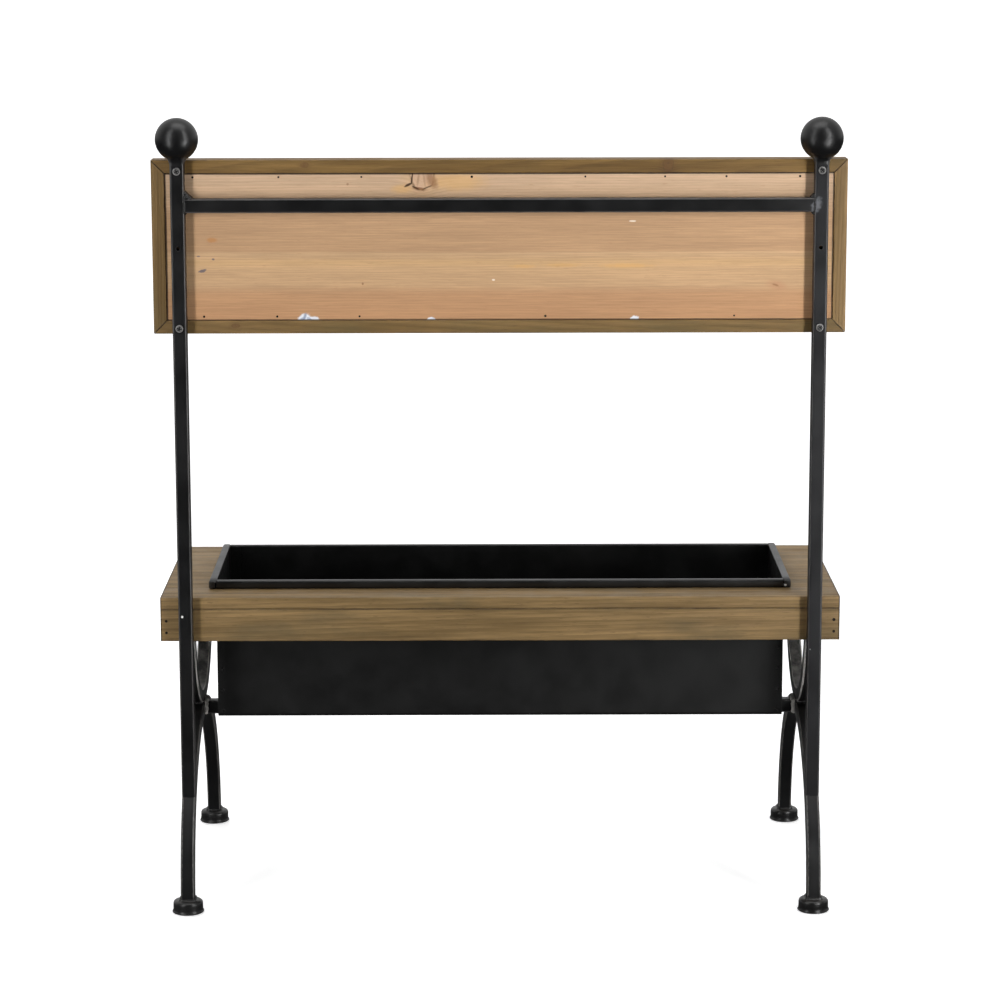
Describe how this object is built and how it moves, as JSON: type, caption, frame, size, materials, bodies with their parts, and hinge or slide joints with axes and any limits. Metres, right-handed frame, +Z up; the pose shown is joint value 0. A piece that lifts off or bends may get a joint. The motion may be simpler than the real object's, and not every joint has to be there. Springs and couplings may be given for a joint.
{
  "type": "planter stand",
  "caption": "Welded square tube stand with arched legs, a wooden box bench that holds a lift-out metal trough, and a framed wooden sign board between ball-tipped posts.",
  "frame": {"origin": "on the floor, midway between the four feet", "axes": "+Z up, -Y towards the front of the sign board and the open side of the bench, +X along the stretcher"},
  "size_m": [0.686, 0.362, 0.7974],
  "materials": {
    "black_steel": "satin black paint over mill scale",
    "black_ball": "satin black paint on a steel ball",
    "weld": "black paint over rough weld metal",
    "foot_plastic": "moulded black plastic cap",
    "screw": "dark phosphate screw",
    "nail": "dull nail heads",
    "stained_frame": "olive-brown wiped stain",
    "stained_bench": "olive-brown wiped stain, greyer on top",
    "raw_panel": "bare softwood behind, chalky white paint in front",
    "black_sheet": "satin black paint on sheet steel"
  },
  "bodies": {
    "stand": {"post_left": "black_steel", "post_right": "black_steel", "upper_arc_left": "black_steel", "upper_arc_right": "black_steel", "lower_arc_left": "black_steel", "lower_arc_right": "black_steel", "upper_rail": "black_steel", "stretcher": "black_steel", "bearer_left": "black_steel", "bearer_right": "black_steel", "finial_left": "black_ball", "finial_right": "black_ball", "rail_welds": "weld", "stretcher_welds": "weld", "arc_welds": "weld", "finial_welds": "weld", "foot_front_left": "foot_plastic", "foot_front_right": "foot_plastic", "foot_rear_left": "foot_plastic", "foot_rear_right": "foot_plastic", "panel_screws": "screw", "bearer_screws": "screw", "panel_brads": "nail", "apron_nails": "nail", "frame_rail_top": "stained_frame", "frame_rail_bottom": "stained_frame", "frame_stile_left": "stained_frame", "frame_stile_right": "stained_frame", "top_board_front": "stained_bench", "top_board_rear": "stained_bench", "top_board_left": "stained_bench", "top_board_right": "stained_bench", "apron_front": "stained_bench", "apron_rear": "stained_bench", "apron_left": "stained_bench", "apron_right": "stained_bench", "sign_panel": "raw_panel"},
    "planter_trough": {"trough_wrap": "black_sheet", "trough_end_left": "black_sheet", "trough_end_right": "black_sheet", "trough_rim": "black_sheet", "trough_spot_welds": "black_sheet"}
  },
  "joints": [
    {"name": "trough_lift", "type": "slide", "parent": "stand", "child": "planter_trough", "axis": [0, 0, 1], "range_m": [0, 0.16]}
  ]
}
